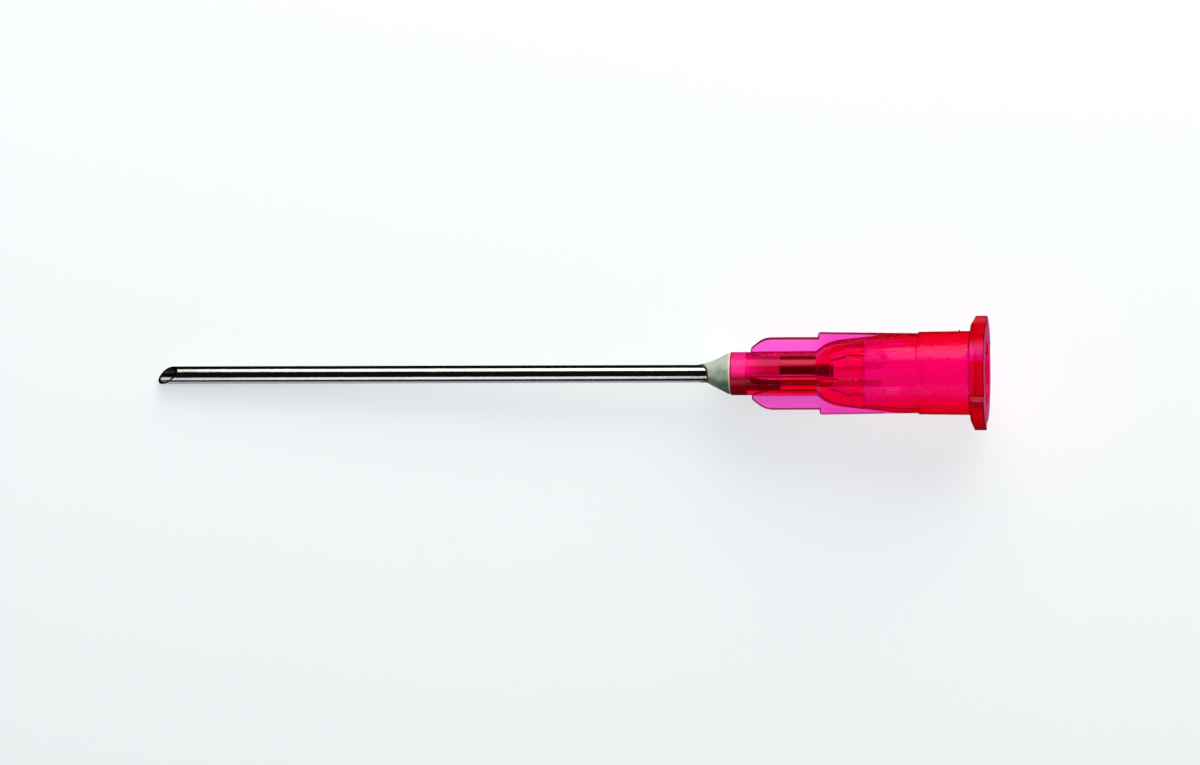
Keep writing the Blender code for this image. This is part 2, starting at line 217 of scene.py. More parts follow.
def rounded_path(corners):
    """Outline through corners of (radius, height, fillet, arc steps, run steps).

    A fillet leaves both sides at its radius times the tangent of half the turn. Its arc
    weighs the two spokes by the sines of the turn left and the turn done. The run steps
    divide the straight run that follows a corner.
    """
    rows = []
    run = 0
    for index, (radius, height, fillet, arc_steps, run_steps) in enumerate(corners):
        corner = np.array((radius, height))
        arc = corner[None]
        if fillet:
            back = unit(np.array(corners[index - 1][:2]) - corner)
            ahead = unit(np.array(corners[index + 1][:2]) - corner)
            turn = math.pi - math.acos(back @ ahead)
            reach = fillet * math.tan(turn / 2)
            centre = corner + unit(back + ahead) * fillet / math.cos(turn / 2)
            share = np.linspace(0.0, 1.0, arc_steps + 1)[:, None]
            start_weight = np.sin((1 - share) * turn) / math.sin(turn)
            end_weight = np.sin(share * turn) / math.sin(turn)
            arc = (centre + start_weight * (corner + back * reach - centre)
                   + end_weight * (corner + ahead * reach - centre))
        if rows:
            share = np.linspace(0.0, 1.0, run + 1)[1:-1, None]
            rows.append(mixed(rows[-1][-1], arc[0], share))
        rows.append(arc)
        run = run_steps
    return np.concatenate(rows)


def lying(radius, turn, height, roll):
    """Points of the needle where it lies: out from the axis by the radius, towards the
    direction that the turn and the needle's roll give, and up the axis by the height."""
    radius, turn, height = np.broadcast_arrays(radius, turn, height)
    out = np.cos(turn + roll)[..., None] * UPWARDS + np.sin(turn + roll)[..., None] * SIDEWAYS
    return FOOT_OF_AXIS + radius[..., None] * out + height[..., None] * ALONG


def rest_roll(hub):
    """The roll at which the flange's rim and the corner of one lug touch the floor."""
    lug_radius = hub.flange_diameter / 2 + hub.lug_rise
    return -(math.acos(hub.flange_diameter / 2 / lug_radius)
             + math.asin(hub.lug_width / 2 / lug_radius))


def add_piece(name, points, material, node):
    """Closed skin over a grid of points whose rows and columns both close on themselves."""
    rows, columns = points.shape[:2]
    corner = np.arange(rows * columns).reshape(rows, columns)
    down = np.roll(corner, -1, axis=0)
    faces = np.stack([corner, down, np.roll(down, -1, axis=1), np.roll(corner, -1, axis=1)], 2)
    mesh = bpy.data.meshes.new(name)
    mesh.from_pydata(points.reshape(-1, 3), [], faces.reshape(-1, 4))
    mesh.shade_smooth()
    mesh.set_sharp_from_angle(angle=SHARP_ANGLE)
    mesh.materials.append(material)
    piece = bpy.data.objects.new(name, mesh)
    bpy.context.scene.collection.objects.link(piece)
    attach(piece, "root")
    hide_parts(node)
    return piece


# Hub

NOSE_DRAFT = math.radians(0.3)
SHOULDER_STEEPEST = math.radians(45)
SHOULDER_SHALLOWEST = math.radians(7)
BODY_DRAFT = math.radians(0.8)
BODY_FRONT_HEIGHT = 6.2 * MM
SLEEVE_HEIGHT = 4.65 * MM
SLEEVE_STEP = 0.1 * MM
SLEEVE_FILLET = 0.02 * MM
BODY_FILLET = 0.12 * MM
BODY_EASE = 0.06 * MM
RIM_EDGE_SHARE = 0.9
LUG_FLANK_ANGLE = math.radians(25)
FIN_DRAFT = math.radians(1.5)
FIN_CREST_FALL = math.radians(0.85)
FIN_STEP_SETBACK = 5.98 * MM
FIN_STEP_FILLET = 0.13 * MM
FIN_FRONT_SETBACK = 1.4 * MM
FIN_FRONT_RISE = 0.31 * MM
FIN_FRONT_SLOPE = math.radians(38)
FIN_FRONT_FILLET = 1.5 * MM
FIN_TOE_FILLET = 0.2 * MM
FIN_ROOT_FILLET = 0.09 * MM
FIN_CREST_FILLET = 0.07 * MM
LUG_ROOT_FILLET = 0.1 * MM
LUG_CORNER_FILLET = 0.07 * MM
FADE_RISE = 0.05 * MM
TINY_RISE = 1e-7
FIN_TAIL_HEIGHT = SLEEVE_HEIGHT + SLEEVE_STEP

WELL_DEPTH = 3.4 * MM
WELL_MOUTH_DEPTH = 1.08 * MM
WELL_RIM = 0.22 * MM
WELL_GLUE_WALL = 0.2 * MM
BORE_LENGTH = 2.8 * MM
FUNNEL_LENGTH = 1.8 * MM
CHAMBER_RADIUS = 1.17 * MM
CHAMBER_LENGTH = 1.1 * MM
LUER_TAPER = 0.06
MOUTH_CHAMFER = 0.08 * MM
SEAT_CLEARANCE = 0.02 * MM
INNER_FILLET = 0.03 * MM
SOCKET_FLOOR_FILLET = 0.06 * MM
CHAMBER_FILLET = 0.25 * MM
ROW_GAP = 0.02 * MM
BEHIND_STEP = 0.4
SPREAD_PACE = 1.6

# The gate's witness: a nub on the sleeve, on the side that faces the top of the picture
GATE_HEIGHT = 1.88 * MM
GATE_RADIUS = 0.055 * MM
GATE_RISE = 0.09 * MM
PARTING_RADIUS = 0.05 * MM
PARTING_RISE = 0.014 * MM
PARTING_END = 3.0 * MM
PARTING_ONSET = 0.4 * MM


def shaft_radius(hub, height):
    """Radius of the hub's round outside at each height from the sleeve up to the nose.

    The nose narrows by its draft, the shoulder is an arc about a centre inside the hub,
    and a straight taper joins the arc's end to the front of the body, which widens by its
    own draft down to the sleeve. The corner between those two is eased: near it, the
    lesser of their radii is lowered by the square of what is left of the ease, over four
    times the ease.
    """
    nose_end = hub.length - hub.nose_length
    centre_radius = hub.nose_radius - hub.shoulder_radius * math.cos(SHOULDER_STEEPEST)
    centre_height = nose_end - hub.shoulder_radius * math.sin(SHOULDER_STEEPEST)
    arc_end = centre_height + hub.shoulder_radius * math.sin(SHOULDER_SHALLOWEST)
    arc_end_radius = centre_radius + hub.shoulder_radius * math.cos(SHOULDER_SHALLOWEST)
    nose = hub.nose_radius - (height - nose_end) * math.tan(NOSE_DRAFT)
    from_centre = np.clip(height - centre_height, 0.0, hub.shoulder_radius)
    shoulder = centre_radius + np.sqrt(hub.shoulder_radius ** 2 - from_centre ** 2)
    taper = mixed(body_front_radius(hub), arc_end_radius,
                  (height - BODY_FRONT_HEIGHT) / (arc_end - BODY_FRONT_HEIGHT))
    body = body_front_radius(hub) + (BODY_FRONT_HEIGHT - height) * math.tan(BODY_DRAFT)
    left = np.maximum(BODY_EASE - np.abs(taper - body), 0.0)
    body = np.minimum(taper, body) - left ** 2 / (4 * BODY_EASE)
    return np.select([height > nose_end, height > arc_end], [nose, shoulder], body)


def sleeve_front_radius(hub):
    back = hub.mouth_diameter / 2 + hub.body_wall
    return back - (SLEEVE_HEIGHT - hub.flange_thickness) * math.tan(BODY_DRAFT)


def body_front_radius(hub):
    return (sleeve_front_radius(hub) - SLEEVE_STEP
            - (BODY_FRONT_HEIGHT - SLEEVE_HEIGHT) * math.tan(BODY_DRAFT))


def fin_crest(hub):
    """Crest of a fin from its front to just ahead of the sleeve."""
    front = hub.length - FIN_FRONT_SETBACK
    step = hub.length - FIN_STEP_SETBACK
    nose_end = hub.length - hub.nose_length
    front_radius = hub.fin_radius - hub.fin_step
    toe_radius = hub.nose_radius + FIN_FRONT_RISE
    slope_length = (front_radius - toe_radius) / math.tan(FIN_FRONT_SLOPE)
    tail_radius = hub.fin_radius - (step - FIN_TAIL_HEIGHT) * math.tan(FIN_CREST_FALL)
    root_radius = float(shaft_radius(hub, front))
    ahead = rounded_path([
        (root_radius, front, 0, 0, 3),
        (toe_radius, front, FIN_TOE_FILLET, 5, 9),
        (front_radius, front - slope_length, FIN_FRONT_FILLET, 8, 22),
        (front_radius, nose_end, 0, 0, 0),
    ])
    behind = rounded_path([
        (front_radius, nose_end, 0, 0, 1),
        (front_radius, step, FIN_STEP_FILLET * FILLET_SHARE, 4, 2),
        (hub.fin_radius, step, FIN_STEP_FILLET, 5, 60),
        (tail_radius, FIN_TAIL_HEIGHT, 0, 0, 0),
    ])
    return ahead, behind


def along_share(path):
    """How far along its own length each point of a path lies, from 0 to 1."""
    run = np.concatenate([[0.0], np.cumsum(np.linalg.norm(np.diff(path, axis=0), axis=1))])
    return run / run[-1]


class HubRows:
    """Rows of the hub's grid: where its round surface, its fins and its lugs have them.

    The rows run from the middle of the nose face over the outside, the flange and the rear
    face, and back through the socket, chamber, funnel, bore and well.
    """

    def __init__(self, hub):
        self.rows = []
        nose_front_radius = hub.nose_radius - hub.nose_length * math.tan(NOSE_DRAFT)
        well_mouth_radius = nose_front_radius - WELL_RIM
        face_middle = (nose_front_radius + well_mouth_radius) / 2
        fin_front = hub.length - FIN_FRONT_SETBACK
        self.add(rounded_path([
            (face_middle, hub.length, 0, 0, 2),
            (nose_front_radius, hub.length, hub.edge, 6, 12),
            (float(shaft_radius(hub, fin_front)), fin_front, 0, 0, 0),
        ])[:-1])
        for crest in fin_crest(hub):
            height = mixed(crest[0, 1], crest[-1, 1], along_share(crest))
            base = np.stack([shaft_radius(hub, height), height], 1)
            self.add(base[:-1], fin=crest[:-1])
        self.add_body(hub)
        self.add_flange(hub)
        self.add_inside(hub, well_mouth_radius, face_middle)
        table = np.concatenate(self.rows)
        self.base, self.fin, self.lug = table[:, 0:2], table[:, 2:4], table[:, 4:6]
        self.has_fin, self.spread = table[:, 6], table[:, 7]

    def add(self, base, fin=None, lug=None, spread=0.0):
        """Rows with the round surface's outline, and those of the fins and the lugs. The
        spread says whether the columns stand as the fins or as the lugs need them."""
        other = np.stack([np.full(len(base), float(fin is not None)),
                          np.zeros(len(base)) + spread], 1)
        self.rows.append(np.hstack([base, base if fin is None else fin,
                                    base if lug is None else lug, other]))

    def add_body(self, hub):
        """Over the step up to the sleeve, where the fins end, and the gate's witness."""
        sleeve_front = sleeve_front_radius(hub)
        sleeve_back = hub.mouth_diameter / 2 + hub.body_wall
        slope = math.tan(BODY_DRAFT)
        gate_reach = 3 * GATE_RADIUS
        above, below = GATE_HEIGHT + gate_reach, GATE_HEIGHT - gate_reach
        rim = hub.flange_diameter / 2 - hub.edge
        crest = fin_crest(hub)[1][-1, 0]
        step = rounded_path([
            (float(shaft_radius(hub, FIN_TAIL_HEIGHT)), FIN_TAIL_HEIGHT, 0, 0, 1),
            (sleeve_front - SLEEVE_STEP, SLEEVE_HEIGHT + SLEEVE_STEP / 2, SLEEVE_FILLET, 3, 6),
            (sleeve_front, SLEEVE_HEIGHT - SLEEVE_STEP / 2, SLEEVE_FILLET, 3, 1),
            (sleeve_front, SLEEVE_HEIGHT - SLEEVE_STEP, 0, 0, 0),
        ])
        self.add(step, fin=np.stack([np.full(len(step), crest), step[:, 1]], 1))
        path = rounded_path([
            (sleeve_front + BEHIND_STEP * SLEEVE_STEP * slope,
             SLEEVE_HEIGHT - (1 + BEHIND_STEP) * SLEEVE_STEP, 0, 0, 12),
            (sleeve_back - (above - hub.flange_thickness) * slope, above, 0, 0, 14),
            (sleeve_back - (below - hub.flange_thickness) * slope, below, 0, 0, 4),
            (sleeve_back, hub.flange_thickness, BODY_FILLET, 6, 4),
            (rim - CONTACT_OVERLAP, hub.flange_thickness, 0, 0, 0),
        ])
        self.add(path, spread=smooth_step(along_share(path) * SPREAD_PACE))

    def add_flange(self, hub):
        """The rim between the lugs beside the flank, crest and end of a lug."""
        radius = hub.flange_diameter / 2
        lug_radius = radius + hub.lug_rise
        fall = hub.lug_rise * math.tan(LUG_FLANK_ANGLE)
        rim = radius - hub.edge
        rim_edge = hub.edge * RIM_EDGE_SHARE
        between_lugs = rounded_path([
            (rim, hub.flange_thickness, 0, 0, 1),
            (radius, hub.flange_thickness, rim_edge, 7, 12),
            (radius, 0.0, rim_edge, 7, 1),
            (rim, 0.0, 0, 0, 0),
        ])
        over_lugs = rounded_path([
            (rim, hub.flange_thickness, 0, 0, 1),
            (radius, hub.flange_thickness, 0, 0, 6),
            (lug_radius, hub.flange_thickness - fall, hub.edge, 5, 5),
            (lug_radius, 0.0, hub.edge, 5, 6),
            (rim, 0.0, 0, 0, 0),
        ])
        self.add(between_lugs, lug=over_lugs, spread=1.0)

    def add_inside(self, hub, well_mouth_radius, face_middle):
        """The rear face, the Luer socket and all that lies in front of it."""
        socket_depth = (hub.length - WELL_DEPTH - BORE_LENGTH - FUNNEL_LENGTH
                        - CHAMBER_LENGTH)
        mouth_radius = hub.mouth_diameter / 2
        chamfer_top = mouth_radius - MOUTH_CHAMFER * LUER_TAPER / 2
        socket_floor = mouth_radius - socket_depth * LUER_TAPER / 2
        bore_radius = CANNULA_DIAMETER / 2 + SEAT_CLEARANCE
        well_radius = CANNULA_DIAMETER / 2 + WELL_GLUE_WALL
        well_floor = hub.length - WELL_DEPTH
        fine = INNER_FILLET
        path = rounded_path([
            (hub.flange_diameter / 2 - hub.edge - ROW_GAP, 0.0, 0, 0, 6),
            (chamfer_top + MOUTH_CHAMFER, 0.0, fine, 3, 1),
            (chamfer_top, MOUTH_CHAMFER, fine, 3, 26),
            (socket_floor, socket_depth, SOCKET_FLOOR_FILLET, 4, 3),
            (CHAMBER_RADIUS, socket_depth, fine, 4, 6),
            (CHAMBER_RADIUS, socket_depth + CHAMBER_LENGTH, CHAMBER_FILLET, 5, 8),
            (bore_radius, well_floor - BORE_LENGTH, fine, 3, 9),
            (bore_radius, well_floor, fine, 3, 1),
            (well_radius, well_floor, fine, 3, 8),
            (well_radius, hub.length - WELL_MOUTH_DEPTH, fine, 3, 2),
            (well_mouth_radius, hub.length - WELL_MOUTH_DEPTH, fine, 3, 6),
            (well_mouth_radius, hub.length, fine, 3, 1),
            (face_middle - ROW_GAP, hub.length, 0, 0, 0),
        ])
        self.add(path, spread=1.0 - smooth_step(along_share(path) * 2 - 1))


def boss_steps(top, corner, side, root):
    """Steps over half a boss: its top from 0 to 1, its corner to 2, side to 3, root to 4."""
    counts = ((0, top), (1, corner), (2, side))
    steps = [start + np.linspace(0, 1, count, endpoint=False) for start, count in counts]
    return np.concatenate([*steps, 3 + np.linspace(0, 1, root + 1)])


FIN_STEPS = boss_steps(2, 4, 3, 3)
LUG_STEPS = boss_steps(10, 4, 2, 4)
GAP, FIN, LUG = 0, 1, 2
GAP_COLUMNS = (2, 26, 8)
FIN_PULL_FADE = math.radians(14)

# Half of the turn, in degrees, that the columns of a boss take up on a plain round surface:
# where they suit the fins, and where they suit the lugs
FIN_HALVES = (12.9, 9.0)
LUG_HALVES = (28.0, 32.4)


class HubColumns:
    """Columns of the hub's grid: fins, lugs and the gaps between, in half a turn twice.

    Each column has the boss that it belongs to, its step over that boss, the boss's turn
    and side, and two turns where it stands on a plain round surface: one that suits the
    fins and one that suits the lugs.
    """

    def __init__(self, hub):
        columns = []

        def boss_half(boss, start, side):
            kind, steps, centre, *halves = boss
            centre = start + centre
            share = side * np.linspace(0, 1, len(steps))
            if side < 0:
                steps, share = steps[:0:-1], share[:0:-1]
            for step, part in zip(steps, share):
                columns.append((kind, step, centre, side,
                                *(centre + part * half for half in halves)))

        def gap(count, boss, following, start):
            (_, _, centre, *halves), (_, _, next_centre, *next_halves) = boss, following
            for part in np.linspace(0, 1, count + 2)[1:-1]:
                turns = [mixed(start + centre + half, start + next_centre - next_half, part)
                         for half, next_half in zip(halves, next_halves)]
                columns.append((GAP, 0.0, 0.0, 1, *turns))

        fin_turn = math.degrees(hub.fin_turn)
        bosses = ((LUG, LUG_STEPS, 0.0, *LUG_HALVES), (FIN, FIN_STEPS, fin_turn, *FIN_HALVES),
                  (FIN, FIN_STEPS, fin_turn + 90, *FIN_HALVES),
                  (LUG, LUG_STEPS, 180.0, *LUG_HALVES))
        for start in (0.0, 180.0):
            for count, boss, following in zip(GAP_COLUMNS, bosses, bosses[1:]):
                boss_half(boss, start, 1)
                gap(count, boss, following, start)
                boss_half(following, start, -1)
        table = np.array(columns)
        self.kind, self.step = table[:, 0], table[:, 1]
        self.centre, self.side = np.radians(table[:, 2]), table[:, 3]
        self.near, self.far = np.radians(table[:, 4]), np.radians(table[:, 5])
        from_fin = (self.near - hub.fin_turn + math.pi / 4) % (math.pi / 2) - math.pi / 4
        beyond = np.abs(from_fin) - math.radians(FIN_HALVES[0])
        self.fin_pull = 1 - smooth_step(beyond / FIN_PULL_FADE)


def boss_section(step, top, base, half_top, half_base, corner, root):
    """Half of a straight-sided boss on a round body, seen along the axis, as turn and radius.

    Steps 0 to 1 follow its round top from the middle, 1 to 2 the arc of its corner, 2 to 3
    the straight side, and 3 to 4 the arc of its root, which meets the body as a tangent.
    """
    rise = np.maximum(top - base, 0.0)
    corner = np.minimum(corner, FILLET_SHARE * rise)
    root = np.minimum(root, FILLET_SHARE * rise)
    corner_turn = np.arcsin((half_top - corner) / (top - corner))
    corner_across = half_top - corner
    corner_out = (top - corner) * np.cos(corner_turn)
    root_turn = np.arcsin((half_base + root) / (base + root))
    root_across = half_base + root
    root_out = (base + root) * np.cos(root_turn)
    on_corner = corner_turn + (step - 1) * (math.pi / 2 - corner_turn)
    on_root = -math.pi / 2 - (step - 3) * (math.pi / 2 - root_turn)
    where = [step < 1, step < 2, step < 3]
    across = np.select(where, [
        top * np.sin(step * corner_turn),
        corner_across + corner * np.sin(on_corner),
        mixed(half_top, half_base, step - 2) + 0 * top,
    ], root_across + root * np.sin(on_root))
    out = np.select(where, [
        top * np.cos(step * corner_turn),
        corner_out + corner * np.cos(on_corner),
        mixed(corner_out, root_out, step - 2),
    ], root_out + root * np.cos(on_root))
    return across, out


def hub_points(hub):
    """Grid of points over the whole moulding, with a row for each height and a column for
    each turn. A boss column lies on its boss where that stands proud, and slides back to
    an even place on the round surface where the boss fades."""
    rows, columns = HubRows(hub), HubColumns(hub)
    base_radius, base_height = rows.base[:, :1], rows.base[:, 1:]
    turn = mixed(columns.near, columns.far, rows.spread[:, None])
    pull = rows.has_fin[:, None] * columns.fin_pull
    height = mixed(base_height, rows.fin[:, 1:], pull)
    radius = np.where(height != base_height, shaft_radius(hub, height), base_radius)

    # Round surface, in a section square to the axis
    across, out = radius * np.sin(turn), radius * np.cos(turn)

    # Fins
    fins = columns.kind == FIN
    crest = rows.fin[:, :1]
    root_radius = radius[:, fins]

    def fin_half_width(at_radius):
        draft = (at_radius - hub.nose_radius) * math.tan(FIN_DRAFT)
        return hub.fin_thickness / 2 - draft

    fin_across, fin_out = boss_section(
        columns.step[fins], np.maximum(crest, root_radius), root_radius,
        fin_half_width(crest), fin_half_width(root_radius), FIN_CREST_FILLET, FIN_ROOT_FILLET)
    blend = rows.has_fin[:, None] * smooth_step((crest - root_radius) / FADE_RISE)
    place(across, out, fins, fin_across, fin_out, blend, columns)

    # Lugs
    lugs = columns.kind == LUG
    lug_radius, lug_height = rows.lug[:, :1], rows.lug[:, 1:]
    lug_half = hub.lug_width / 2
    flange_half = np.minimum(lug_half, 0.5 * base_radius)
    lug_across, lug_out = boss_section(
        columns.step[lugs], np.maximum(lug_radius, base_radius), base_radius,
        flange_half, flange_half, LUG_CORNER_FILLET, LUG_ROOT_FILLET)
    rise = lug_radius - base_radius
    proud = np.abs(rows.lug - rows.base).max(axis=1, keepdims=True) > TINY_RISE
    place(across, out, lugs, lug_across, lug_out, proud.astype(float), columns)
    climb = (np.hypot(lug_across, lug_out) - base_radius) / np.maximum(rise, TINY_RISE)
    climb = np.where(columns.step[lugs] < 2, 1.0, np.clip(climb, 0.0, 1.0))
    height[:, lugs] = mixed(height[:, lugs], lug_height, climb * proud)

    turn = np.arctan2(across, out)
    radius = with_tool_marks(hub, np.hypot(across, out), turn, height)
    return lying(radius, turn, height, rest_roll(hub))


def with_tool_marks(hub, radius, turn, height):
    """Radius of the hub's skin with what its tool left on it.

    The gate's witness is a nub that falls off with the fourth power of the distance from
    its middle, in an exponential. The parting is a ridge on the sleeve in line with each
    fin, a bell curve across, which sets in over a short stretch.
    """
    outside = radius > hub.mouth_diameter / 2 + hub.body_wall / 2
    gate_turn = math.pi / 2 - rest_roll(hub)
    around = (turn - gate_turn + math.pi) % math.tau - math.pi
    away = np.hypot(radius * around, height - GATE_HEIGHT) / GATE_RADIUS
    radius = radius + outside * GATE_RISE * np.exp(-away ** 4)
    around = (turn - hub.fin_turn + math.pi / 4) % (math.pi / 2) - math.pi / 4
    along = smooth_step((height - PARTING_END) / PARTING_ONSET) * (height < SLEEVE_HEIGHT)
    ridge = np.exp(-(radius * around / PARTING_RADIUS) ** 2)
    return radius + outside * PARTING_RISE * along * ridge


def place(across, out, chosen, boss_across, boss_out, blend, columns):
    """Moves the chosen columns from the round surface onto their boss, by the blend."""
    side, centre = columns.side[chosen], columns.centre[chosen]
    turned_across = side * boss_across * np.cos(centre) + boss_out * np.sin(centre)
    turned_out = boss_out * np.cos(centre) - side * boss_across * np.sin(centre)
    across[:, chosen] = mixed(across[:, chosen], turned_across, blend)
    out[:, chosen] = mixed(out[:, chosen], turned_out, blend)


# Cannula

CANNULA_COLUMNS = 128
CANNULA_ROWS = 40


def cannula_points(cannula, hub):
    """Grid over the tube: outside from the foot to the point, the ground bevel, the inside
    back to the foot, and the square foot.

    The bevel is a plane through the point. Its height falls with the distance across the
    tube towards where it faces, over the tangent of its angle, and each row on the tube
    ends on it.
    """
    radius = cannula.diameter / 2
    bore = radius - cannula.wall
    tip = hub.length + cannula.exposed
    foot = hub.length - cannula.seated
    edge = cannula.edge
    turn = np.linspace(0, math.tau, CANNULA_COLUMNS, endpoint=False)

    def bevel_height(at_radius):
        across = at_radius * np.cos(turn - cannula.bevel_turn) + radius
        return tip - across / math.tan(cannula.bevel)

    # Each row is (radius, share of the way from the foot to the bevel, drop below the bevel)
    outside = 1 - np.linspace(1, 0, CANNULA_ROWS) ** 2
    quarter = np.linspace(0, math.pi / 2, 5)
    rows = [(radius, share, edge) for share in outside]
    rows += [(radius - edge * (1 - math.cos(a)), 1.0, edge * (1 - math.sin(a)))
             for a in quarter[1:]]
    lip = np.linspace(radius - edge, bore + edge, 4)[1:-1]
    rows += [(at_radius, 1.0, 0.0) for at_radius in lip]
    rows += [(bore + edge * (1 - math.sin(a)), 1.0, edge * (1 - math.cos(a))) for a in quarter]
    rows += [(bore, share, edge) for share in outside[-2::-1]]
    heights = []
    for at_radius, share, drop in rows:
        heights.append(mixed(foot, bevel_height(at_radius) - drop, share))
    radii = np.array([row[0] for row in rows])[:, None] + np.zeros(CANNULA_COLUMNS)
    return lying(radii, turn, np.array(heights), rest_roll(hub))[::-1]


# Adhesive

CONE_RIM = 0.06 * MM
CONE_SHOULDER_DROP = 0.03 * MM
CONE_FILLET = 0.3 * MM
COLLAR_FILLET = 0.04 * MM
RESIN_FILLET = 0.02 * MM
FEATHER_EDGE = 0.03 * MM
RUN_DIRECTION = math.radians(80)
RUN_HALF_ANGLE = math.radians(38)
ADHESIVE_COLUMNS = 144

# Slow waves round the axis, each with how many there are in a turn, its size and its start
CREEP_WAVES = ((1, 1.0, 0.6), (2, 0.6, 2.1))
SWELL_WAVES = ((3, 1.0, 1.0), (2, 0.7, 4.0))
SWELL_SHARE = 0.15


def waves(turn, parts):
    return sum(size * np.sin(count * turn + start) for count, size, start in parts)


def adhesive_points(adhesive, hub, cannula):
    """Grid over the cured drop: down the cone, over the nose face and round the well.

    The cone is an outline carried round the axis. Its feather edge is lowered by the creep
    times slow waves of the turn and raised by the run times a bell curve about one
    direction, and its flank swells and sinks with other waves.
    """
    turn = np.linspace(0, math.tau, ADHESIVE_COLUMNS, endpoint=False)
    nose = hub.nose_radius - hub.nose_length * math.tan(NOSE_DRAFT)
    inner = cannula.diameter / 2 - CONTACT_OVERLAP
    collar = nose - CONE_RIM
    mouth = nose - WELL_RIM - SEAT_CLEARANCE
    well = cannula.diameter / 2 + WELL_GLUE_WALL - SEAT_CLEARANCE
    mouth_floor = hub.length - WELL_MOUTH_DEPTH + SEAT_CLEARANCE
    well_floor = hub.length - WELL_DEPTH + SEAT_CLEARANCE
    fine = RESIN_FILLET
    path = rounded_path([
        (inner, hub.length + adhesive.height, 0, 0, 1),
        (inner + FEATHER_EDGE, hub.length + adhesive.height, fine / 2, 3, 10),
        (collar - CONE_SHOULDER_DROP, hub.length + adhesive.shoulder, CONE_FILLET / 2, 12, 4),
        (collar, hub.length + CONTACT_OVERLAP, COLLAR_FILLET, 4, 2),
        (mouth, hub.length + CONTACT_OVERLAP, fine, 3, 5),
        (mouth, mouth_floor, fine, 3, 3),
        (well, mouth_floor, fine, 3, 8),
        (well, well_floor, fine, 3, 1),
        (inner, well_floor, 0, 0, 30),
        (inner, hub.length + adhesive.height, 0, 0, 0),
    ])[:-1]
    radius, height = path[:, :1], path[:, 1:]
    climb = np.clip((height - hub.length) / adhesive.height, 0.0, 1.0)
    swing = waves(turn, CREEP_WAVES) / sum(size for _, size, _ in CREEP_WAVES)
    height = height - adhesive.creep * climb ** 2 * (1 + swing) / 2
    from_run = (turn + rest_roll(hub) - RUN_DIRECTION + math.pi) % math.tau - math.pi
    run = np.exp(-(from_run / RUN_HALF_ANGLE) ** 2)
    height = height + adhesive.run * climb ** 6 * run
    on_flank = np.sin(math.pi * climb) * (radius > inner + fine)
    radius = radius + SWELL_SHARE * adhesive.creep * on_flank * waves(turn, SWELL_WAVES)
    return lying(radius, turn, height, rest_roll(hub))


# Finishes

# How many features each pattern has in a metre, along the needle and across it both ways
DIE_LINES = (300.0, 26000.0, 26000.0)
STEEL_RIPPLES = (900.0, 2600.0, 2600.0)
STEEL_CLOUDS = (250.0, 2500.0, 2500.0)
PLASTIC_FLOW = (350.0, 900.0, 900.0)
PLASTIC_GRAIN = (4000.0, 8000.0, 8000.0)
PLASTIC_PITS = (900.0, 5000.0, 5000.0)
RESIN_CLOUDS = (1400.0, 1400.0, 1400.0)
RESIN_GRAIN = (12000.0, 12000.0, 12000.0)

# How deep each pattern is as a relief
DIE_LINE_DEPTH = 0.0006 * MM
STEEL_RIPPLE_DEPTH = 0.004 * MM
PLASTIC_FLOW_DEPTH = 0.012 * MM
PLASTIC_GRAIN_DEPTH = 0.007 * MM
RESIN_CLOUD_DEPTH = 0.04 * MM
RESIN_GRAIN_DEPTH = 0.002 * MM

BLACK = (0.0, 0.0, 0.0)


class Signal:
    """A shader socket that can be reckoned with: an expression on it adds Math nodes."""

    def __init__(self, finish, socket):
        self.finish, self.socket = finish, socket

    def __add__(self, other):
        return self.finish.math("ADD", self, other)

    def __sub__(self, other):
        return self.finish.math("SUBTRACT", self, other)

    def __rsub__(self, other):
        return self.finish.math("SUBTRACT", other, self)

    def __mul__(self, other):
        return self.finish.math("MULTIPLY", self, other)

    def __pow__(self, other):
        return self.finish.math("POWER", self, other)

    __radd__, __rmul__ = __add__, __mul__


